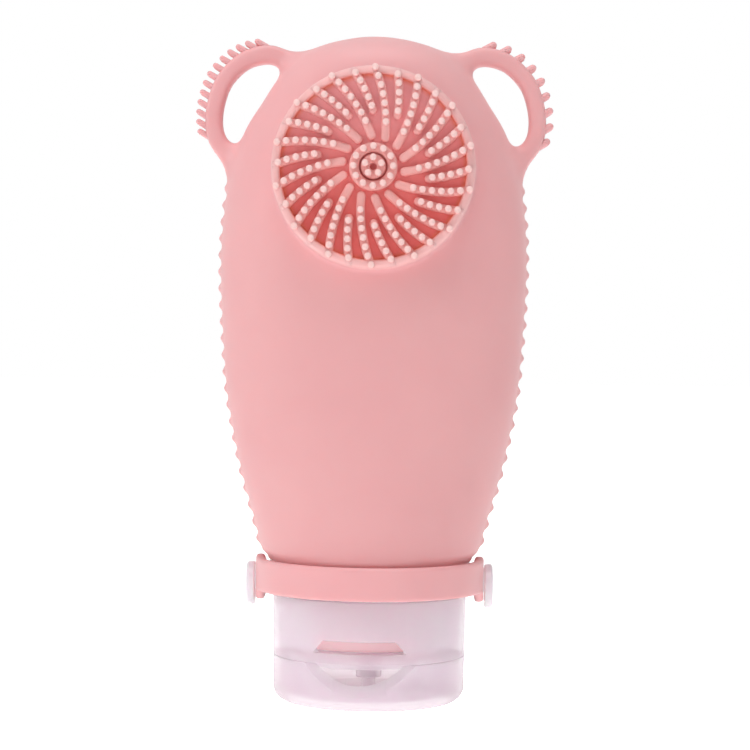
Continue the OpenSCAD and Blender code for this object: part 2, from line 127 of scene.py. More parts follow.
def lathe(name, outline, sides=128, angle=40):
    # turns a closed outline of (radius, height) points about Z
    onAxis = 1e-6
    area = sum(a.x * b.y - b.x * a.y for a, b in zip(outline, outline[1:] + outline[:1]))
    ring = outline if area > 0 else outline[::-1]
    points, index = [], []
    for p in ring:
        count = 1 if p.x < onAxis else sides
        index.append([len(points) + (k % count) for k in range(sides)])
        for k in range(count):
            turn = 2 * math.pi * k / sides
            points.append((p.x * math.cos(turn), p.x * math.sin(turn), p.y))
    faces = []
    for j in range(len(ring)):
        low, high = index[j], index[(j + 1) % len(ring)]
        for k in range(sides):
            n = (k + 1) % sides
            corners = list(dict.fromkeys([low[k], low[n], high[n], high[k]]))
            if len(corners) > 2:
                faces.append(corners)
    return meshObject(name, points, faces, angle)


def coat(obj, material):
    # one material all over
    obj.data.materials.clear()
    obj.data.materials.append(material)
    for face in obj.data.polygons:
        face.material_index = 0
    return obj


def shifted(x, y, z):
    return Matrix.Translation((x * mm, y * mm, z * mm))


def turned(degrees, axis):
    return Matrix.Rotation(math.radians(degrees), 4, axis)


def placed(obj, matrix):
    # the place goes into the mesh, and the object stays at the origin
    obj.data.transform(matrix)
    obj.data.update()
    return obj


def bake(obj, modifier):
    # keeps what the modifier makes as the object's plain mesh
    shape = obj.evaluated_get(bpy.context.evaluated_depsgraph_get())
    mesh = bpy.data.meshes.new_from_object(shape)
    obj.modifiers.remove(modifier)
    obj.data = mesh
    return obj


def carve(obj, cutters, operation="DIFFERENCE", angle=40):
    for cutter in cutters:
        modifier = obj.modifiers.new("carve", "BOOLEAN")
        modifier.operation = operation
        modifier.solver = "MANIFOLD"
        modifier.object = cutter
        bake(obj, modifier)
        bpy.data.objects.remove(cutter)
    return softEdges(obj, angle)


def cast(name, field, low, high, cell, angle=60):
    # a mesh of the field's zero surface: one point in each cell that it crosses
    low, high, unit = np.array(low, float), np.array(high, float), np.eye(3, dtype=int)
    counts = np.ceil((high - low) / cell).astype(int) + 1
    axes = [low[a] + cell * np.arange(counts[a]) for a in range(3)]
    values = np.empty(counts)
    across = np.stack(np.meshgrid(axes[1], axes[2], indexing="ij"), -1).reshape(-1, 2)
    for i, x in enumerate(axes[0]):
        slab = np.column_stack([np.full(len(across), x), across])
        values[i] = field(slab).reshape(counts[1:])
    inside = values < 0
    corners = [np.array(c) for c in np.ndindex(2, 2, 2)]
    total = sum(inside[tuple(slice(c, n - 1 + c) for c, n in zip(corner, counts))].astype(int)
                for corner in corners)
    crossed = (total > 0) & (total < 8)
    cells = np.argwhere(crossed)
    number = np.full(crossed.shape, -1)
    number[crossed] = np.arange(len(cells))
    spot, hits = np.zeros((len(cells), 3)), np.zeros(len(cells))
    for corner in corners:
        for axis in range(3):
            if corner[axis]:
                continue
            step = unit[axis]
            a = values[tuple((cells + corner).T)]
            b = values[tuple((cells + corner + step).T)]
            cut = (a < 0) != (b < 0)
            t = np.where(cut, a / np.where(cut, a - b, 1), 0)
            spot[cut] += (corner + t[:, None] * step)[cut]
            hits += cut
    points = low + cell * (cells + spot / hits[:, None])
    # two short steps down the slope bring the points onto the surface
    nudge, flattest = 0.05, 0.1
    for _ in range(2):
        slope = np.stack([(field(points + nudge * e) - field(points - nudge * e)) / (2 * nudge)
                          for e in unit], 1)
        away = field(points) / np.maximum((slope ** 2).sum(1), flattest)
        points -= np.clip(away, -cell / 2, cell / 2)[:, None] * slope
    faces = []
    for axis in range(3):
        step, u, v = unit[axis], unit[(axis + 1) % 3], unit[(axis + 2) % 3]
        edge = inside[tuple(slice(0, n - s) for n, s in zip(counts, step))] \
            != inside[tuple(slice(s, n) for n, s in zip(counts, step))]
        at = np.argwhere(edge)
        quad = np.stack([number[tuple((at - shift).T)] for shift in (0 * u, u, u + v, v)], 1)
        flip = ~inside[tuple(at.T)]
        quad[flip] = quad[flip][:, ::-1]
        faces += quad.tolist()
    return meshObject(name, points, faces, angle)


# Node helpers

def addNode(tree, kind, inputs=None, **settings):
    node = tree.nodes.new(kind)
    for key, value in settings.items():
        setattr(node, key, value)
    for key, value in (inputs or {}).items():
        if isinstance(value, bpy.types.NodeSocket):
            tree.links.new(value, node.inputs[key])
        else:
            node.inputs[key].default_value = value
    return node


def maths(tree, operation, *values):
    return addNode(tree, "ShaderNodeMath", dict(enumerate(values)), operation=operation).outputs[0]


socketKinds = {float: "NodeSocketFloat", int: "NodeSocketInt", Vector: "NodeSocketVector",
               bpy.types.Object: "NodeSocketObject", bpy.types.Material: "NodeSocketMaterial"}


def newTree(name, sizes):
    # an empty tree with one named input for each size
    tree = bpy.data.node_groups.new(name, "GeometryNodeTree")
    tree.interface.new_socket("Geometry", in_out="INPUT", socket_type="NodeSocketGeometry")
    for label, value in sizes.items():
        kind = next(k for t, k in socketKinds.items() if isinstance(value, t))
        tree.interface.new_socket(label, in_out="INPUT", socket_type=kind)
    tree.interface.new_socket("Geometry", in_out="OUTPUT", socket_type="NodeSocketGeometry")
    return tree, tree.nodes.new("NodeGroupInput").outputs


def grow(obj, tree, sizes):
    # runs the tree on the object and keeps the result as a plain mesh
    modifier = obj.modifiers.new("grow", "NODES")
    modifier.node_group = tree
    for item in tree.interface.items_tree:
        if item.in_out == "INPUT" and item.name in sizes:
            modifier[item.identifier] = sizes[item.name]
    return bake(obj, modifier)


def pathObject(name, line):
    # a bare chain of edges through the points
    mesh = bpy.data.meshes.new(name)
    points = [tuple(Vector(p) * mm) for p in line]
    mesh.from_pydata(points, [(i, i + 1) for i in range(len(points) - 1)], [])
    return newObject(name, mesh)


def shapeOf(tree, thing):
    return addNode(tree, "GeometryNodeObjectInfo", {"Object": thing}).outputs["Geometry"]


def spread(tree, path, count):
    # points along the path, evenly spaced
    curve = addNode(tree, "GeometryNodeMeshToCurve", {0: path}).outputs[0]
    return addNode(tree, "GeometryNodeResampleCurve", {"Curve": curve, "Count": count}).outputs[0]


def stamp(tree, points, shape, **more):
    # the shape on each of the points
    return addNode(tree, "GeometryNodeInstanceOnPoints",
                   {"Points": points, "Instance": shape, **more}).outputs[0]


def ringOf(tree, shape, count, turn):
    # copies of the shape, each turned about Z
    points = addNode(tree, "GeometryNodePoints", {"Count": count}).outputs[0]
    euler = addNode(tree, "ShaderNodeCombineXYZ", {"Z": turn}).outputs[0]
    return stamp(tree, points, shape, Rotation=euler)


def finishTree(tree, geometry, material):
    real = addNode(tree, "GeometryNodeRealizeInstances", {"Geometry": geometry})
    dressed = addNode(tree, "GeometryNodeSetMaterial",
                      {"Geometry": real.outputs[0], "Material": material})
    addNode(tree, "NodeGroupOutput", {0: dressed.outputs[0]})


# Materials

def paint(red, green, blue):
    # a colour as it looks on a screen, 0 to 255, in Blender's linear numbers
    linear = [(c / 255 / 12.92) if c < 10 else ((c / 255 + 0.055) / 1.055) ** 2.4
              for c in (red, green, blue)]
    return (*linear, 1)


def newMaterial(name, sockets):
    material = bpy.data.materials.new(name)
    material.use_nodes = True
    shader = material.node_tree.nodes["Principled BSDF"]
    for key, value in sockets.items():
        shader.inputs[key].default_value = value
    return material, material.node_tree, shader


def ranged(tree, value, start, end, first=0.0, last=1.0, **settings):
    # start to end becomes first to last, and the value stays between them
    return addNode(tree, "ShaderNodeMapRange", {
        "Value": value, "From Min": start, "From Max": end, "To Min": first, "To Max": last},
        **settings).outputs[0]


def mixed(tree, share, first, second):
    return addNode(tree, "ShaderNodeMix", {"Factor": share, "A": first, "B": second},
                   data_type="RGBA").outputs["Result"]


def fromAxis(tree, axes):
    # distance from the Z axis
    flat = addNode(tree, "ShaderNodeCombineXYZ", {"X": axes["X"], "Y": axes["Y"]})
    return addNode(tree, "ShaderNodeVectorMath", {0: flat.outputs[0]},
                   operation="LENGTH").outputs["Value"]


def colourRamp(tree, share, stops):
    # the stops are (place, colour), from first to last
    ramp = addNode(tree, "ShaderNodeValToRGB", {"Fac": share})
    made = ramp.color_ramp.elements
    made[0].position, made[0].color = stops[0]
    made[1].position, made[1].color = stops[-1]
    for position, colour in stops[1:-1]:
        made.new(position).color = colour
    return ramp.outputs["Color"]


def mouldGrain(tree, shader, size, depth):
    # the fine matt grain that a spark-eroded mould leaves
    place = addNode(tree, "ShaderNodeTexCoord")
    grain = addNode(tree, "ShaderNodeTexNoise", {"Vector": place.outputs["Object"],
                                                 "Scale": 1 / (size * mm), "Detail": 2.0})
    bump = addNode(tree, "ShaderNodeBump", {"Height": grain.outputs["Fac"],
                                            "Distance": depth * mm, "Strength": 0.6})
    tree.links.new(bump.outputs[0], shader.inputs["Normal"])
    return place.outputs["Object"]


def drifting(tree, where, scale, deep, light, detail, roughness):
    # a slow drift between two close tones; the scale is in bumps to the metre
    drift = addNode(tree, "ShaderNodeTexNoise", {"Vector": where, "Scale": scale,
                                                 "Detail": detail, "Roughness": roughness})
    return colourRamp(tree, drift.outputs["Fac"], [(0.3, deep), (0.7, light)])


silicone = dict(grain=0.16, grainDepth=0.006, drift=22)


def makeSilicone(name, light, deep, roughness=0.52):
    material, tree, shader = newMaterial(name, {
        "Roughness": roughness, "Subsurface Weight": 0.25, "Subsurface Radius": (1.0, 0.35, 0.3),
        "Subsurface Scale": 1.2 * mm, "Specular IOR Level": 0.4, "Sheen Weight": 0.25,
        "Sheen Roughness": 0.5, "Sheen Tint": paint(255, 225, 225)})
    where = mouldGrain(tree, shader, silicone["grain"], silicone["grainDepth"])
    tint = drifting(tree, where, 1 / (silicone["drift"] * mm), deep, light, 3.0, 0.55)
    tree.links.new(tint, shader.inputs["Base Color"])
    return material


bottleSilicone = makeSilicone("bottleSilicone", paint(241, 180, 181), paint(238, 174, 176))
strapSilicone = makeSilicone("strapSilicone", paint(245, 182, 184), paint(242, 176, 179), 0.45)
valveSilicone = makeSilicone("valveSilicone", paint(238, 168, 174), paint(234, 160, 168))

milky = dict(grain=0.5, grainDepth=0.003, haze=60.0, hazeTone=0.97, edgeBlend=0.35)


def makeMilky(name, colour, clearest, densest, roughness, spread=0.5, ribs=None):
    # polypropylene: what lies behind shows faintly, less so where a wall is seen along its
    # length, and the light that falls on it spreads through the wall and mostly goes on
    material, tree, shader = newMaterial(name, {
        "Roughness": roughness, "Subsurface Weight": 1.0, "Subsurface Radius": (1.0, 0.85, 0.95),
        "Subsurface Scale": spread * mm})
    where = mouldGrain(tree, shader, milky["grain"], milky["grainDepth"])
    hazy = [c * milky["hazeTone"] for c in colour[:3]] + [1]
    tint = drifting(tree, where, milky["haze"], hazy, colour, 2.0, 0.5)
    glassy = addNode(tree, "ShaderNodeLayerWeight", {"Blend": milky["edgeBlend"]})
    dense = ranged(tree, glassy.outputs["Facing"], 0.0, 1.0, clearest, densest)
    if ribs:
        # grip ribs: a painted highlight on their tops and painted shade in the hollows, both denser
        # than the wall round them
        axes = addNode(tree, "ShaderNodeSeparateXYZ", {0: where}).outputs
        far = fromAxis(tree, axes)
        rise, within, above = (ranged(tree, value, *((ribs[base] + end) * mm for end in ribs[ends]))
                               for value, base, ends in ((far, "low", "rise"), (far, "high", "fade"),
                                                         (axes["Z"], "foot", "start")))
        near = maths(tree, "MULTIPLY", within, above)
        tint = mixed(tree, near, tint, mixed(tree, rise, ribs["hollowShade"], ribs["top"]))
        dense = maths(tree, "MAXIMUM", dense, maths(tree, "MULTIPLY", near, ribs["cover"]))
    tree.links.new(tint, shader.inputs["Base Color"])
    path = addNode(tree, "ShaderNodeLightPath").outputs
    falling = maths(tree, "MAXIMUM", path["Is Shadow Ray"], path["Is Diffuse Ray"])
    alpha = maths(tree, "MULTIPLY", dense, ranged(tree, falling, 0.0, 1.0, 1.0, 0.0))
    tree.links.new(alpha, shader.inputs["Alpha"])
    return material


milkyNeck = makeMilky("milkyNeck", paint(255, 240, 248), 0.95, 1.0, 0.2)
milkyStud = makeMilky("milkyStud", paint(255, 240, 246), 0.97, 1.0, 0.3)
milkyPin = makeMilky("milkyPin", paint(240, 228, 236), 0.8, 0.95, 0.25)
print("shared materials made")


# The bottle: body and ear loops are one moulding

bottle = dict(width=59.8, depth=31.6, footRadius=20.1, squareness=2.35, squareBy=0.3,
              toothCount=22, toothProud=0.7, toothDepth=3.0, toothPoint=1.25, toothBeyond=12,
              wall=2.5, tailInner=13.1, tailOuter=15.6, fillet=3.2, bossFillet=0.8, cell=0.5)
bottle["foot"] = collarHigh.z + 0.1
bottle["height"] = bottleHigh.z - bottle["foot"]
bottle["toothLow"] = bottle["foot"] + 0.037 * bottle["height"]
bottle["toothHigh"] = bottle["foot"] + 0.708 * bottle["height"]
# how far the foot's rounded edge stands in, and its share of the height
footEdge = [(0.9, -0.002), (0.5, -0.001), (0.1, 0.003), (0.0, 0.008)]
# share of the height, and how far the width and depth have gone from the foot to full size
flare = [(0.018, 0.11, 0.02), (0.095, 0.33, 0.13), (0.171, 0.55, 0.37), (0.267, 0.76, 0.60),
         (0.36, 0.89, 0.79), (0.56, 1, 1)]
# share of the height, of the full width and of the full depth
crown = [(0.708, 0.963, 0.98), (0.807, 0.868, 0.94), (0.871, 0.742, 0.87), (0.927, 0.615, 0.76),
         (0.966, 0.47, 0.60), (0.99, 0.25, 0.33), (1, 0, 0)]


def smoothLine(knots, steps):
    # a curve through the knots; the first and the last only steer its ends
    knots = np.array(knots, float)
    t = np.linspace(0, 1, steps, endpoint=False)[:, None]
    made = []
    for a, b, c, d in zip(knots, knots[1:], knots[2:], knots[3:]):
        made.append(0.5 * (2 * b + (c - a) * t + (2 * a - 5 * b + 4 * c - d) * t ** 2
                           + (3 * b - 3 * c + d - a) * t ** 3))
    return np.vstack(made + [knots[-2]])


def bottleProfile():
    # rows of half width, half depth and height, from the foot to the crown
    r, hw, hd = bottle["footRadius"], bottle["width"] / 2, bottle["depth"] / 2
    knots = [(r + (hw - r) * w, r + (hd - r) * d, s) for s, w, d in flare]
    knots += [(hw * w, hd * d, s) for s, w, d in crown]
    w, d, s = knots[-2]
    line = smoothLine([(r, r, 0.0)] + knots + [(-w, -d, s)], steps=12)
    line = np.vstack([np.array([(r - inset, r - inset, s) for inset, s in footEdge]), line])
    line[:, 2] = bottle["foot"] + line[:, 2] * bottle["height"]
    return line


profile = bottleProfile()


def profileTable(step=0.25):
    # signed distance to the profile and its slope, on a fine grid of radius and height
    widest, lowest, highest = 42, 16, 140
    reach = np.arange(0, widest, step)
    height = np.arange(lowest, highest, step)
    r, z = np.meshgrid(reach, height, indexing="ij")
    line = np.vstack([[0, profile[0, 2]], profile[:, [0, 2]]])
    best = np.full(r.shape, 1e9)
    for a, b in zip(line[:-1], line[1:]):
        ab = b - a
        t = np.clip(((r - a[0]) * ab[0] + (z - a[1]) * ab[1]) / max(ab @ ab, 1e-12), 0, 1)
        best = np.minimum(best, np.hypot(r - a[0] - t * ab[0], z - a[1] - t * ab[1]))
    edge = np.interp(z, profile[:, 2], profile[:, 0], left=-1, right=-1)
    table = np.where(r < edge, -best, best)
    return table, np.gradient(table, step, axis=0), step, reach[0], height[0]


distanceTable, slopeTable, tableStep, tableReach, tableHeight = profileTable()


def readTable(table, r, z):
    u = np.clip((r - tableReach) / tableStep, 0, table.shape[0] - 1.001)
    v = np.clip((z - tableHeight) / tableStep, 0, table.shape[1] - 1.001)
    i, j = u.astype(int), v.astype(int)
    a, b = u - i, v - j
    return ((1 - a) * (1 - b) * table[i, j] + a * (1 - b) * table[i + 1, j]
            + (1 - a) * b * table[i, j + 1] + a * b * table[i + 1, j + 1])


def bodyField(p):
    # about the distance in front of the silicone body, negative inside
    x, y, z = np.abs(p[:, 0]), np.abs(p[:, 1]), p[:, 2]
    # the last row is the point of the crown, which has no ratio of its own
    ratio = np.interp(z, profile[:-1, 2], profile[:-1, 0] / profile[:-1, 1])
    n = 2 + (bottle["squareness"] - 2) * np.clip(
        (z - bottle["foot"]) / (bottle["squareBy"] * bottle["height"]), 0, 1)
    wide = y * ratio
    r = (x ** n + wide ** n) ** (1 / n)
    safe = np.maximum(r, 1e-6)
    steep = np.sqrt((x / safe) ** (2 * n - 2) + (ratio * (wide / safe) ** (n - 1)) ** 2)
    lean = np.clip(readTable(slopeTable, r, z), 0, 1)
    return readTable(distanceTable, r, z) / np.sqrt(lean ** 2 * (steep ** 2 - 1) + 1)


def toothHeight(p):
    # scallops of the side seam: sharper tips than hollows, fading to front and back
    low, high = bottle["toothLow"], bottle["toothHigh"]
    pitch = (high - low) / (bottle["toothCount"] - 1)
    wave = 0.5 + 0.5 * np.cos(2 * math.pi * (p[:, 2] - low) / pitch)
    within = (p[:, 2] > low - pitch / 2) & (p[:, 2] < high + pitch / 2)
    fade = np.cos(np.clip(p[:, 1] / bottle["toothDepth"], -1, 1) * math.pi / 2) ** 2
    beside = np.abs(p[:, 0]) > bottle["toothBeyond"]
    return bottle["toothProud"] * wave ** bottle["toothPoint"] * within * fade * beside


# beyond and above bound the space in which the loops are worked out
ears = dict(depth=5.0, band=3.5, squareness=3.6, slimmest=1.4, beyond=9, above=97,
            rowGap=2.1, rodRise=30, rodSink=1.2, rodTaper=0.92, rodsFrom=2.1)
# middle line of a loop: distance from the axis, distance below the crown, share of the band
earLine = [(13.5, 7.2, 1.3), (17.4, 4.8, 1.02), (21.3, 3.7, 1.04), (25.8, 5, 0.98),
           (29.5, 8.6, 0.97), (31.2, 12.8, 0.97), (31.7, 17, 0.97), (31, 20.4, 1),
           (28.7, 23.5, 1.08), (25.6, 26.4, 1.5)]


def loopLine(steps):
    knots = [(x, bottleHigh.z - down, share * ears["band"] / 2) for x, down, share in earLine]
    return smoothLine([knots[0]] + knots + [knots[-1]], steps)


def earField(p):
    # distance to the two ear loops; both sides at once, because they mirror each other
    farAway = 20.0
    far = np.full(len(p), farAway)
    near = ((np.abs(p[:, 0]) > ears["beyond"]) & (np.abs(p[:, 1]) < ears["beyond"])
            & (p[:, 2] > ears["above"]))
    x, y, z = np.abs(p[near, 0]), p[near, 1], p[near, 2]
    best = far[near]
    line = loopLine(steps=4)
    for a, b in zip(line[:-1], line[1:]):
        ab = b[:2] - a[:2]
        t = np.clip(((x - a[0]) * ab[0] + (z - a[1]) * ab[1]) / (ab @ ab), 0, 1)
        half = a[2] + t * (b[2] - a[2])
        deep = half * np.minimum(ears["depth"] / 2 / half, ears["slimmest"])
        flat = np.hypot(x - a[0] - t * ab[0], z - a[1] - t * ab[1])
        n, a0, b0 = ears["squareness"], flat / half, np.abs(y) / deep
        k0 = (a0 ** n + b0 ** n) ** (1 / n)
        safe = np.maximum(k0, 1e-6)
        steep = np.hypot((a0 / safe) ** (n - 1) / half, (b0 / safe) ** (n - 1) / deep)
        best = np.minimum(best, np.where(k0 < 1e-3, -half, (k0 - 1) / np.maximum(steep, 1e-9)))
    far[near] = best
    return far


def melt(a, b, k):
    # union with a fillet of about k
    h = np.clip(0.5 + 0.5 * (b - a) / k, 0, 1)
    return b + (a - b) * h - k * h * (1 - h)


brush = dict(radius=19.3, thick=2.6, floor=1.2, rim=1.7, reach=19.0, lean=3.0,
             centre=bottle["foot"] + 75.7, nubHeight=1.5, nubDiameter=1.3, ribWidth=1.7)
brush["seat"] = brush["reach"] - brush["thick"]
padMatrix = shifted(0, -brush["seat"], brush["centre"]) @ turned(90 - brush["lean"], "X")
padOut = np.array(padMatrix.to_3x3() @ Vector((0, 0, 1)))
padSeat = np.array([0, -brush["seat"], brush["centre"]])


def bossField(p):
    # the short round pillar that carries the brush, rooted well inside the bottle
    root = 0.8 * brush["seat"]
    off = p - padSeat
    out = off @ padOut
    aside = np.linalg.norm(off - out[:, None] * padOut, axis=1)
    d = np.stack([aside - brush["radius"], np.maximum(out, -out - root)], 1)
    return np.minimum(d.max(1), 0) + np.linalg.norm(np.maximum(d, 0), axis=1)


def tailField(p):
    # the sleeve below the foot that grips the neck, and the bore through it and the foot's wall
    inner, outer, overlap, past = bottle["tailInner"], bottle["tailOuter"], 3, 1
    r = np.hypot(p[:, 0], p[:, 1])
    wall = np.maximum(np.abs(r - (inner + outer) / 2) - (outer - inner) / 2,
                      np.maximum(bottleLow.z - p[:, 2], p[:, 2] - bottle["foot"] - overlap))
    return wall, np.maximum(r - inner, p[:, 2] - bottle["foot"] - bottle["wall"] - past)


def mouldingField(p):
    body = bodyField(p) - toothHeight(p)
    solid = melt(body, earField(p), bottle["fillet"])
    solid = melt(solid, bossField(p), bottle["bossFillet"])
    sleeve, bore = tailField(p)
    return np.maximum(np.minimum(solid, sleeve), -bore)


def makeMoulding():
    # the space it is cast in: the ears reach past the bottle's sides
    reach, deep = bottle["width"] / 2 + 5, bottle["footRadius"] + 1
    low, high = bottleLow.z - 0.8, bottleHigh.z + 1
    piece = cast("siliconeBottle", mouldingField, (-reach, -deep, low), (reach, deep, high),
                 bottle["cell"])
    coat(piece, bottleSilicone)
    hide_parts("bottle_body", "ear_left", "ear_right")
    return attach(piece, "bottle")


moulding = makeMoulding()
print("silicone moulding:", len(moulding.data.polygons), "faces")


# Round-tipped rods, for the ears and for the brush

def beadShape(name, foot, tip, length, dome, sides=10):
    # a short peg on Z with a domed end
    outline = [Vector((0, 0)), Vector((foot / 2, 0))]
    for k in range(4):
        turn = math.pi / 6 * k
        outline.append(Vector((tip / 2 * math.cos(turn), length - dome * (1 - math.sin(turn)))))
    outline[-1].x = 0
    return lathe(name, outline, sides, angle=80)


rodLooks = dict(left=dict(count=13, diameter=1.2, proud=2.0, last=6.8),
                right=dict(count=9, diameter=1.55, proud=1.6, last=7.05))


def rodTree(sizes):
    # rods along a path, in rows, all pointing the same way
    tree, given = newTree("earRods", sizes)
    spots = spread(tree, given["Geometry"], given["Rods in a row"])
    rod = shapeOf(tree, given["Rod"])
    aim = addNode(tree, "FunctionNodeAlignRotationToVector", {"Vector": given["Direction"]},
                  axis="Z").outputs[0]
    rows = addNode(tree, "GeometryNodeJoinGeometry")
    for side in (-0.5, 0.5):
        shift = addNode(tree, "ShaderNodeCombineXYZ",
                        {"Y": maths(tree, "MULTIPLY", given["Row gap"], side)}).outputs[0]
        row = addNode(tree, "GeometryNodeTransform", {"Geometry": spots, "Translation": shift})
        tree.links.new(stamp(tree, row.outputs[0], rod, Rotation=aim), rows.inputs[0])
    finishTree(tree, rows.outputs[0], given["Material"])
    return tree


def makeRods():
    steps = 8
    line = loopLine(steps)
    rise, sink = math.radians(ears["rodRise"]), ears["rodSink"]
    tree = None
    for side, look in rodLooks.items():
        first, last = round(ears["rodsFrom"] * steps), round(look["last"] * steps)
        flip = -1 if side == "left" else 1
        path = []
        for a, b in zip(line[first:last], line[first + 1:last + 1]):
            along = (b - a)[:2] / np.linalg.norm((b - a)[:2])
            path.append((flip * (a[0] - along[1] * a[2]), 0, a[1] + along[0] * a[2]))
        out = Vector((flip * math.cos(rise), 0, math.sin(rise)))
        path = [Vector(p) - sink * out for p in path]
        tip = ears["rodTaper"] * look["diameter"]
        rod = beadShape(side + "Rod", look["diameter"], tip, sink + look["proud"], tip / 2)
        sizes = {"Rods in a row": look["count"], "Row gap": ears["rowGap"] * mm, "Rod": rod,
                 "Direction": out, "Material": bottleSilicone}
        tree = tree or rodTree(sizes)
        piece = grow(pathObject(side + "EarRods", path), tree, sizes)
        softEdges(piece, angle=80)
        bpy.data.objects.remove(rod)
        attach(piece, "bottle")
        print(side, "ear rods:", len(piece.data.polygons), "faces")


makeRods()


# The brush: a dish with swirling ribs, and nubs standing on them

# painted light and shade of the brush, from its floor outward: darker down in the floor and paler up
# to the nub tips, deeper on its lower half and paler on its upper half, which the light reaches
brushTonesAndShade = dict(
    deep=[paint(247, 138, 134), paint(247, 162, 156), paint(248, 184, 179), paint(250, 194, 188),
          paint(255, 214, 210)],
    pale=[paint(255, 190, 192), paint(252, 188, 186), paint(250, 190, 187), paint(250, 196, 192),
          paint(255, 217, 213)],
    edge=paint(244, 150, 122), rim=paint(248, 194, 192))
# where tones change: across in shares of the brush's radius, wall and rim in millimetres from
# the rim's inner wall, nubs in millimetres above the ribs
brushLook = dict(grain=0.16, grainDepth=0.005, shadeWarmth=0.75, across=(-0.5, 0.9),
                 wall=(-0.9, -0.1), rim=(0.15, 0.5), nubs=0.8)


def makeBrushSilicone(lean, seat, heights, radius):
    # painted light and shade: paler the further it stands out, and darker down in the floor between
    # the ribs
    material, tree, shader = newMaterial("brushSilicone", {
        "Roughness": 0.5, "Subsurface Weight": 0.25, "Subsurface Radius": (1.0, 0.8, 0.75),
        "Subsurface Scale": 0.7 * mm, "Specular IOR Level": 0.2})
    where = mouldGrain(tree, shader, brushLook["grain"], brushLook["grainDepth"])
    # turns the pad's leaning axis upright, so that Z counts from the seat outward
    upright = addNode(tree, "ShaderNodeMapping", {
        "Vector": where, "Location": seat, "Rotation": (math.radians(90 - lean), 0, 0)},
        vector_type="TEXTURE")
    axes = addNode(tree, "ShaderNodeSeparateXYZ", {0: upright.outputs[0]}).outputs
    share = ranged(tree, axes["Z"], 0.0, heights[-1] * mm)
    places = [height / heights[-1] for height in heights]
    deep, pale = (colourRamp(tree, share, list(zip(places, brushTonesAndShade[side])))
                  for side in ("deep", "pale"))
    # painted light: the upper half of the brush is paler than its lower half
    start, end = brushLook["across"]
    across = ranged(tree, axes["Y"], start * radius * mm, end * radius * mm,
                    interpolation_type="SMOOTHSTEP")
    tone = mixed(tree, across, deep, pale)
    # painted shade: a warm shade on the wall inside the rim below its top, and the rim is pale
    # outside
    far, inside = fromAxis(tree, axes), radius - brush["rim"]
    near, beyond = (ranged(tree, far, (inside + start) * mm, (inside + end) * mm)
                    for start, end in (brushLook["wall"], brushLook["rim"]))
    low = ranged(tree, axes["Z"], heights[1] * mm, heights[2] * mm, brushLook["shadeWarmth"], 0.0)
    warm = mixed(tree, maths(tree, "MULTIPLY", near, low), tone, brushTonesAndShade["edge"])
    nub = ranged(tree, axes["Z"], heights[2] * mm, (heights[2] + brushLook["nubs"]) * mm, 1.0, 0.0)
    dressed = mixed(tree, maths(tree, "MULTIPLY", beyond, nub), warm, brushTonesAndShade["rim"])
    tree.links.new(dressed, shader.inputs["Base Color"])
    return material


swirl = dict(pairs=14, arcRadius=28.45, arcOffset=27.3, arcDirection=163.4,
             longFrom=5.05, shortFrom=9.9, end=18.4, top=2.6, roll=0.6,
             longNubs=(8.6, 18.65, 7), shortNubs=(11.3, 17.9, 5),
             ringOut=4.6, ringIn=2.7, ringNubs=12, ringNubRadius=3.75,
             hubOut=2.36, hubIn=0.65, pit=1.1, hubNubs=5, hubNubRadius=1.62)


def onSwirl(r):
    # the point of the first rib's middle line at distance r from the brush's centre
    off, arc = swirl["arcOffset"], swirl["arcRadius"]
    turn = math.radians(swirl["arcDirection"]) - math.acos(
        (r * r + off * off - arc * arc) / (2 * r * off))
    return Vector((r * math.cos(turn), r * math.sin(turn), 0))


def ribShape(name, start, end):
    # a bar with round ends and a round top, bent along the swirl
    count, ends = 24, 6
    line = [onSwirl(start + (end - start) * k / count) for k in range(count + 1)]
    half, top, roll = brush["ribWidth"] / 2, swirl["top"], swirl["roll"]
    layers = [(0.0, brush["floor"] - 0.3), (0.0, top - roll)]
    layers += [(roll * (1 - math.cos(a)), top - roll + roll * math.sin(a))
               for a in (math.pi / 8, math.pi / 4, 3 * math.pi / 8, math.pi / 2)]
    points, loops = [], []
    for inset, height in layers:
        w = half - inset
        loop = []
        for way in (line, line[::-1]):
            for k, spot in enumerate(way):
                along = (way[min(k + 1, count)] - way[max(k - 1, 0)]).normalized()
                across = Vector((-along.y, along.x, 0))
                loop.append(spot - w * across)
            for k in range(1, ends):
                turn = -math.pi / 2 + math.pi * k / ends
                loop.append(spot + w * (math.cos(turn) * along + math.sin(turn) * across))
        loops.append(range(len(points), len(points) + len(loop)))
        points += [(p.x, p.y, height) for p in loop]
    n = len(loops[0])
    faces = [[low[k], low[(k + 1) % n], high[(k + 1) % n], high[k]]
             for low, high in zip(loops, loops[1:]) for k in range(n)]
    faces += [list(loops[0])[::-1], list(loops[-1])]
    return meshObject(name, points, faces, 50)


def swirlTree(sizes):
    # one rib with its row of nubs, repeated round the centre
    tree, given = newTree("brushSwirl", sizes)
    spots = spread(tree, given["Geometry"], given["Nubs on a rib"])
    both = addNode(tree, "GeometryNodeJoinGeometry")
    for part in (stamp(tree, spots, shapeOf(tree, given["Nub"])), shapeOf(tree, given["Rib"])):
        tree.links.new(part, both.inputs[0])
    one = addNode(tree, "GeometryNodeGeometryToInstance", {0: both.outputs[0]}).outputs[0]
    index = addNode(tree, "GeometryNodeInputIndex").outputs[0]
    step = maths(tree, "DIVIDE", 2 * math.pi, given["Copies"])
    turn = maths(tree, "MULTIPLY_ADD", index, step, given["First turn"])
    finishTree(tree, ringOf(tree, one, given["Copies"], turn), given["Material"])
    return tree


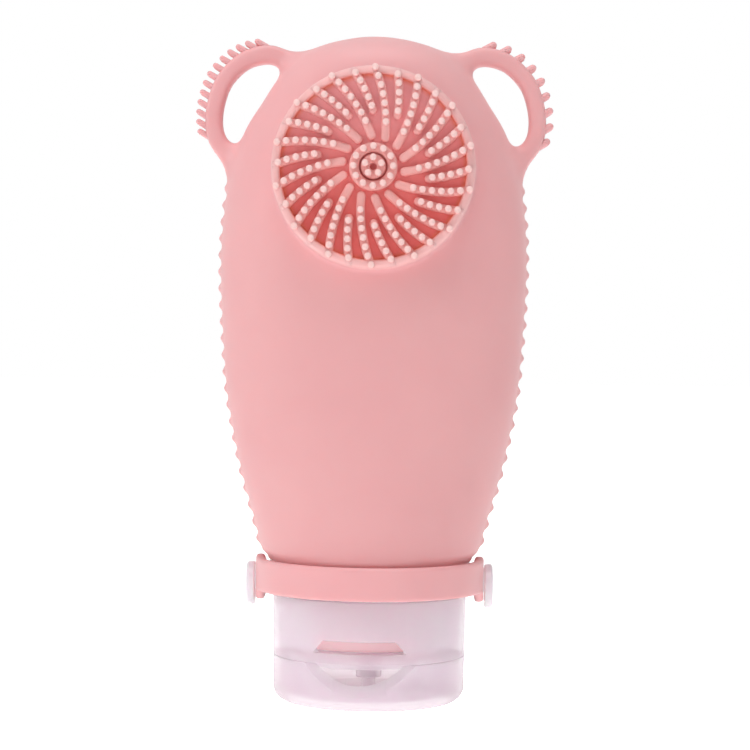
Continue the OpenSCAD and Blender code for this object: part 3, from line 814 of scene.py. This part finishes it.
def makeBrush():
    out, top, floor, pit = brush["radius"], swirl["top"], brush["floor"], swirl["pit"]
    rimIn = out - brush["rim"]
    dish = lathe("brushPad", rounded([
        (0, 0, 0), (out, 0, 0), (out, brush["thick"], 1.2), (rimIn, brush["thick"], 0.4),
        (rimIn, floor, 0.25), (swirl["ringOut"], floor, 0.2), (swirl["ringOut"], top, 0.45),
        (swirl["ringIn"], top, 0.4), (swirl["ringIn"], pit, 0), (swirl["hubOut"], pit, 0),
        (swirl["hubOut"], top, 0.4), (swirl["hubIn"], top, 0.3), (swirl["hubIn"], pit, 0),
        (0, pit, 0)]), sides=160, angle=50)
    # heights where the painted light and shade change: floor, above it, ribs' tops, up the nubs and
    # their tips
    heights = [floor, floor + 0.7, top, top + 0.9, top + brush["nubHeight"]]
    material = makeBrushSilicone(brush["lean"], tuple(padSeat * mm), heights, out)
    sink, flare, dome = 0.4, 1.1, 0.22
    nub = beadShape("nub", flare * brush["nubDiameter"], brush["nubDiameter"],
                    brush["nubHeight"] + sink, dome)
    longRib = ribShape("longRib", swirl["longFrom"] + brush["ribWidth"] / 2, swirl["end"])
    shortRib = ribShape("shortRib", swirl["shortFrom"] + brush["ribWidth"] / 2, swirl["end"])
    bare = meshObject("bare", np.empty((0, 3)), [])
    turn, steps = 2 * math.pi / swirl["pairs"], 12
    rows = []
    for rib, (first, last, count), offset in ((longRib, swirl["longNubs"], 0.0),
                                              (shortRib, swirl["shortNubs"], turn / 2)):
        line = [onSwirl(first + (last - first) * k / steps) + Vector((0, 0, top - sink))
                for k in range(steps + 1)]
        rows.append((rib, line, count, swirl["pairs"], offset))
    # a path too short to see holds the one nub that goes round the centre
    for radius, count in ((swirl["ringNubRadius"], swirl["ringNubs"]),
                          (swirl["hubNubRadius"], swirl["hubNubs"])):
        spot = Vector((0, radius, top - sink))
        rows.append((bare, [spot, spot + Vector((0, 0.001, 0))], 1, count, 0.0))
    tree, grown = None, []
    for rib, line, count, copies, offset in rows:
        sizes = {"Nubs on a rib": count, "Copies": copies, "First turn": offset, "Nub": nub,
                 "Rib": rib, "Material": material}
        tree = tree or swirlTree(sizes)
        grown.append(grow(pathObject("brushRow", line), tree, sizes))
    joinInto(dish, grown)
    coat(dish, material)
    for scratch in (nub, longRib, shortRib, bare):
        bpy.data.objects.remove(scratch)
    placed(dish, padMatrix)
    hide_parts("brush_pad")
    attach(dish, "bottle")
    print("brush:", len(dish.data.polygons), "faces")


makeBrush()


# The strap and what holds it

strap = dict(inner=20.6, outer=22.4, height=6.3, lift=0.9, eyelet=8.8, hole=4.92, edge=0.62,
             fillet=1.0, cell=0.3, room=0.6)
strap["pivot"] = collarLow.z + 2.5


def strapField(p):
    x, y, z = p[:, 0], p[:, 1], p[:, 2] - strap["pivot"]
    band = np.maximum(np.abs(z - strap["lift"]) - strap["height"] / 2, y)
    ring = np.hypot(y, z)
    flat = np.maximum(melt(band, ring - strap["eyelet"] / 2, strap["fillet"]),
                      strap["hole"] / 2 - ring)
    middle, half = (strap["inner"] + strap["outer"]) / 2, (strap["outer"] - strap["inner"]) / 2
    thick = np.abs(np.hypot(x, y) - middle) - half
    edge = strap["edge"]
    d = np.stack([flat, thick], 1) + edge
    return np.minimum(d.max(1), 0) + np.linalg.norm(np.maximum(d, 0), axis=1) - edge


def makeStrap():
    room = strap["room"]
    reach = strap["outer"] + room
    piece = cast("strapBand", strapField, (-reach, -reach, strapLow.z - room),
                 (reach, strapHigh.y + room, strapHigh.z + room), strap["cell"], 50)
    coat(piece, strapSilicone)
    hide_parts("carry_strap")
    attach(piece, "strap")
    print("strap:", len(piece.data.polygons), "faces")


stud = dict(spigot=1.0, neck=2.4, head=4.25, thick=1.6, inHead=0.8, drop=1.2, start=16.2,
            shoulder=19.75)


def makeStuds():
    seat, top = studHigh.x - stud["thick"], studHigh.x
    neckEnd = top - stud["inHead"]
    shaft = rounded([(0, stud["start"], 0), (stud["spigot"], stud["start"], 0.1),
                     (stud["spigot"], stud["shoulder"], 0), (stud["neck"], stud["shoulder"], 0),
                     (stud["neck"], neckEnd, 0), (0, neckEnd, 0)])
    head = rounded([(0, seat, 0), (stud["head"], seat, 0.25), (stud["head"], top, 0.55),
                    (0, top, 0)], steps=6)
    pair = []
    for side in (1, -1):
        for outline, drop in ((shaft, 0), (head, stud["drop"])):
            place = shifted(0, 0, strap["pivot"] - drop) @ turned(90 * side, "Y")
            pair.append(placed(lathe("strapStuds", outline, sides=64), place))
    piece = carve(pair[0], pair[1:], "UNION")
    coat(piece, milkyStud)
    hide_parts("strap_studs")
    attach(piece, "bottle")


collar = dict(flange=18.6, tail=15.7, seat=1.1)


def makeCollar():
    out, flange, tail = collarHigh.x, collar["flange"], collar["tail"]
    step = collarLow.z + collar["seat"]
    piece = lathe("collarRing", rounded([
        (flange, collarLow.z, 0), (out, collarLow.z, 0.4), (out, collarHigh.z, 0.5),
        (tail, collarHigh.z, 0.2), (tail, step, 0), (flange, step, 0)]))
    coat(piece, milkyStud)
    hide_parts("collar_ring")
    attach(piece, "bottle")


makeStrap()
makeStuds()
makeCollar()


# The cap and its lid

cap = dict(clock=-5.0, top=capHigh.z, parting=9.1, deckLow=9.2, deckTop=11.1, radius=19.0,
           partingRadius=18.829, footRadius=18.7, skirt=1.2, innerOut=15.0, innerIn=13.8,
           innerTop=20.5, nozzle=2.5, bore=1.6, nozzleLow=capLow.z, snap=16.829, snapLow=8.0,
           snapWall=1.0, ribCount=120, ribHeight=0.45, ribHalf=0.26, ribRoot=0.25, shortRibs=24,
           windowWidth=18.0, windowHeight=2.4, windowSlant=2.0, windowFrom=15.6, windowDeep=5)
hinge = dict(y=19.379, z=9.1, radius=1.9, middle=5.8, side=3.0, gap=0.2, sideSpots=(-4.6, 4.6),
             capHole=0.77, lidHole=0.81, holeReach=12, openBack=2)
capTurn = turned(cap["clock"], "Z")

# millimetres over which the tones rise from the painted shade of the hollows to the painted
# highlight of the tops, fade past the tops and start
gripRibs = dict(low=cap["innerOut"], high=cap["innerOut"] + cap["ribHeight"],
                foot=cap["deckTop"], rise=(0.05, 0.2), fade=(0.3, 0.2), start=(0.0, 0.1),
                cover=0.9, hollowShade=paint(255, 208, 214), top=paint(255, 255, 255))
milkyCap = makeMilky("milkyCap", paint(250, 228, 240), 0.38, 0.75, 0.2, 1.5, gripRibs)


def prism(name, outline, low, high, matrix=Matrix()):
    # an upright bar of the outline, moved by the matrix
    points = [(p[0], p[1], z) for z in (low, high) for p in outline]
    n = len(outline)
    faces = [[k, (k + 1) % n, n + (k + 1) % n, n + k] for k in range(n)]
    faces += [list(range(n))[::-1], list(range(n, 2 * n))]
    return placed(meshObject(name, points, faces), matrix)


def ribTree(sizes):
    # grip ribs along a stretch of the inner skirt
    tree, given = newTree("skirtRibs", sizes)
    index = addNode(tree, "GeometryNodeInputIndex").outputs[0]
    place = maths(tree, "ADD", index, given["First rib"])
    step = maths(tree, "DIVIDE", 2 * math.pi, given["Ribs in a turn"])
    ribs = ringOf(tree, shapeOf(tree, given["Rib"]), given["Ribs in the row"],
                  maths(tree, "MULTIPLY", place, step))
    finishTree(tree, ribs, given["Material"])
    return tree


def onHinge(obj, x=0.0):
    # what is drawn about Z turns about the hinge's pin instead
    return placed(obj, shifted(x, hinge["y"], hinge["z"]) @ turned(90, "Y"))


def knuckle(x, width):
    return onHinge(lathe("knuckle", rounded([
        (0, -width / 2, 0), (hinge["radius"], -width / 2, 0.25), (hinge["radius"], width / 2, 0.25),
        (0, width / 2, 0)]), sides=48), x)


def pinHole(radius):
    end = hinge["holeReach"]
    return onHinge(lathe("pinHole", [Vector(p) for p in (
        (0, -end), (radius, -end), (radius, end), (0, end))], sides=32))


def block(name, low, high):
    (x0, y0, z0), (x1, y1, z1) = low, high
    return prism(name, [(x0, y0), (x1, y0), (x1, y1), (x0, y1)], z0, z1)


def knuckleRoom(x, width):
    # free space round a knuckle of the other piece
    clear = 0.3
    reach, half = hinge["radius"] + clear, width / 2 + hinge["gap"]
    return block("room", (x - half, hinge["y"] - reach, hinge["z"] - reach),
                 (x + half, hinge["y"] + reach + hinge["openBack"], hinge["z"] + reach))


def makeCap():
    c = cap
    snapIn = c["snap"] - c["snapWall"]
    piece = lathe("screwCap", rounded([
        (c["bore"], c["nozzleLow"], 0.1), (c["nozzle"], c["nozzleLow"], 0.35),
        (c["nozzle"], c["deckLow"], 0.4), (snapIn, c["deckLow"], 0.3),
        (snapIn, c["snapLow"], 0.15), (c["snap"], c["snapLow"], 0.25),
        (c["snap"], c["parting"], 0), (c["partingRadius"], c["parting"], 0.15),
        (c["radius"], c["top"], 0.3), (c["radius"] - c["skirt"], c["top"], 0.3),
        (c["partingRadius"] - c["skirt"], c["deckTop"], 0.3),
        (c["innerOut"], c["deckTop"], 0.3), (c["innerOut"], c["innerTop"], 0.3),
        (c["innerIn"], c["innerTop"], 0.3), (c["innerIn"], c["deckTop"], 0.2),
        (c["bore"], c["deckTop"], 0.1)]), sides=160)
    half, slant, sill = c["windowWidth"] / 2, c["windowSlant"], c["deckTop"]
    lintel = sill + c["windowHeight"]
    upright = shifted(0, -c["windowFrom"], 0) @ turned(90, "X")
    window = prism("window", [(-half, sill), (half, sill), (half - slant, lintel),
                              (slant - half, lintel)], 0, c["windowDeep"], upright)
    half, root = hinge["side"] / 2, c["partingRadius"] - 2.2
    for x in hinge["sideSpots"]:
        carve(piece, [knuckle(x, hinge["side"]), block(
            "knuckleRoot", (x - half, root, hinge["z"]),
            (x + half, hinge["y"] + hinge["radius"], hinge["z"] + hinge["radius"]))], "UNION")
    carve(piece, [window, knuckleRoom(0, hinge["middle"]), pinHole(hinge["capHole"])])
    # the ribs over the window are short, and the others start in the deck
    tree, ribs = None, []
    short, half, out = c["shortRibs"], c["ribHalf"], -c["innerOut"]
    for first, count, foot in ((-short // 2, short + 1, lintel + 0.2),
                               (short // 2 + 1, c["ribCount"] - short - 1, sill - 0.1)):
        rib = prism("rib", [(-half, out + c["ribRoot"]), (0, out - c["ribHeight"]),
                            (half, out + c["ribRoot"])], foot, c["innerTop"] - 0.5)
        sizes = {"Ribs in the row": count, "First rib": float(first),
                 "Ribs in a turn": float(c["ribCount"]), "Rib": rib, "Material": milkyCap}
        tree = tree or ribTree(sizes)
        ribs.append(grow(pathObject("skirtRibs", [(0, 0, 0), (0, 0, 1)]), tree, sizes))
        bpy.data.objects.remove(rib)
    placed(carve(piece, ribs, "UNION", 30), capTurn)
    coat(piece, milkyCap)
    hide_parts("cap_base")
    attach(piece, "cap")
    print("cap:", len(piece.data.polygons), "faces")


lid = dict(height=9.0, wall=1.4, plate=1.6, corner=3.0, plugHeight=6.2, plugRadius=1.4,
           plugTaper=0.3, tabLow=6.2, scoopRadius=75.0, scoopDepth=6.1, scoopRise=55.0)


def makeLid():
    foot, top = cap["footRadius"], cap["partingRadius"]
    outer = rounded([(0, 0, 0), (foot, 0, lid["corner"]), (top, lid["height"], 0.15),
                     (top - lid["wall"], lid["height"], 0.25),
                     (foot - lid["wall"], lid["plate"], lid["corner"] - lid["wall"]),
                     (lid["plugRadius"], lid["plate"], 0.3),
                     (lid["plugRadius"] - lid["plugTaper"], lid["plugHeight"], 0.4),
                     (0, lid["plugHeight"], 0)], steps=8)
    piece = lathe("flipLid", outer, sides=160)
    # the thumb scoop is a large slanting round bar that cuts the front wall
    r, sides = lid["scoopRadius"], 360
    slope = (shifted(0, -top, lid["height"] - lid["scoopDepth"])
             @ turned(lid["scoopRise"] - 90, "X") @ shifted(0, -r, 0))
    ring = [(r * math.cos(2 * math.pi * k / sides), r * math.sin(2 * math.pi * k / sides))
            for k in range(sides)]
    scoop = prism("scoop", ring, 0, 2 * lid["height"], slope)
    half, root = hinge["middle"] / 2, top - lid["wall"]
    carve(piece, [knuckle(0, hinge["middle"]), block(
        "tab", (-half, root, lid["tabLow"]), (half, hinge["y"], lid["height"]))], "UNION")
    rooms = [knuckleRoom(x, hinge["side"]) for x in hinge["sideSpots"]]
    carve(piece, rooms + [pinHole(hinge["lidHole"]), scoop])
    placed(piece, capTurn)
    coat(piece, milkyCap)
    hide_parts("flip_lid")
    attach(piece, "lid")
    print("lid:", len(piece.data.polygons), "faces")


makeCap()
makeLid()


# The inner pieces keep their CAD shape

coat(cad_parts["neck_insert"], milkyNeck)
coat(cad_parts["slit_valve"], valveSilicone)
coat(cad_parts["hinge_pin"], milkyPin)


# Camera, lights and backdrop

view = dict(distance=450.0, height=71.6, azimuth=1.0, pitch=1.0, roll=0.74, lens=109.9,
            shift=0.0036)


def makeCamera():
    data = bpy.data.cameras.new("camera")
    data.lens, data.sensor_width, data.shift_x = view["lens"], 36, view["shift"]
    data.clip_start, data.clip_end = 0.01, 10
    camera = newObject("camera", data)
    turn = math.radians(view["azimuth"])
    camera.location = Vector((math.sin(turn), -math.cos(turn), 0)) * view["distance"] * mm
    camera.location.z = view["height"] * mm
    camera.rotation_euler = (turned(view["azimuth"], "Z") @ turned(90 - view["pitch"], "X")
                             @ turned(view["roll"], "Z")).to_euler()
    bpy.context.scene.camera = camera


# brightness of the backdrop and the floor as they are seen, and as they light the piece;
# lamps stand at a place in metres and face the target
studio = dict(backdrop=1.0, ambient=0.28, ambientTint=(1, 0.98, 0.99, 1), floorGrey=0.9,
              floorSeen=0.88, floorGlow=0.52, floorHalf=3.0, target=(0, 0, 0.07))
lamps = dict(keyLamp=dict(place=(-0.85, -0.5, 0.6), size=0.5, power=2.5),
             fillLamp=dict(place=(-0.1, -0.7, 0.02), size=0.5, power=0.2),
             topLamp=dict(place=(0.0, -0.2, 1.0), size=0.5, power=4.6))


def seenDirectly(tree):
    # 1 for camera, glossy and see-through rays, 0 for the light that falls on things
    path = addNode(tree, "ShaderNodeLightPath").outputs
    either = maths(tree, "MAXIMUM", path["Is Camera Ray"], path["Is Glossy Ray"])
    return maths(tree, "MAXIMUM", either, path["Is Transmission Ray"])


def makeWorld():
    world = bpy.data.worlds.new("studio")
    bpy.context.scene.world = world
    world.use_nodes = True
    tree = world.node_tree
    tree.nodes.clear()
    white = addNode(tree, "ShaderNodeBackground", {"Color": (1, 1, 1, 1),
                                                   "Strength": studio["backdrop"]})
    soft = addNode(tree, "ShaderNodeBackground", {"Color": studio["ambientTint"],
                                                  "Strength": studio["ambient"]})
    mix = addNode(tree, "ShaderNodeMixShader",
                  {0: seenDirectly(tree), 1: soft.outputs[0], 2: white.outputs[0]})
    addNode(tree, "ShaderNodeOutputWorld", {0: mix.outputs[0]})


def makeLamps():
    for name, look in lamps.items():
        data = bpy.data.lights.new(name, "AREA")
        data.size, data.energy = look["size"], look["power"]
        lamp = newObject(name, data)
        lamp.location = look["place"]
        aim = Vector(studio["target"]) - Vector(look["place"])
        lamp.rotation_euler = aim.to_track_quat("-Z", "Y").to_euler()


def makeFloor():
    size, grey = studio["floorHalf"], studio["floorGrey"]
    mesh = bpy.data.meshes.new("floor")
    mesh.from_pydata([(-size, -size, 0), (size, -size, 0), (size, size, 0), (-size, size, 0)], [],
                     [(0, 1, 2, 3)])
    floor = newObject("floor", mesh)
    material, tree, shader = newMaterial("paleFloor", {
        "Roughness": 0.9, "Base Color": (grey, grey, grey, 1), "Specular IOR Level": 0.0})
    # a lit table: its glow lifts the floor to the white of the backdrop, leaves room for a faint
    # shadow, and shines up into the cap
    glow = addNode(tree, "ShaderNodeEmission", {
        "Color": (1, 1, 1, 1), "Strength": ranged(tree, seenDirectly(tree), 0.0, 1.0,
                                                  studio["floorGlow"], studio["floorSeen"])})
    mix = addNode(tree, "ShaderNodeAddShader", {0: shader.outputs[0], 1: glow.outputs[0]})
    tree.links.new(mix.outputs[0], tree.nodes["Material Output"].inputs[0])
    mesh.materials.append(material)


makeCamera()
makeWorld()
makeFloor()
makeLamps()
bpy.context.scene.view_settings.view_transform = "Standard"
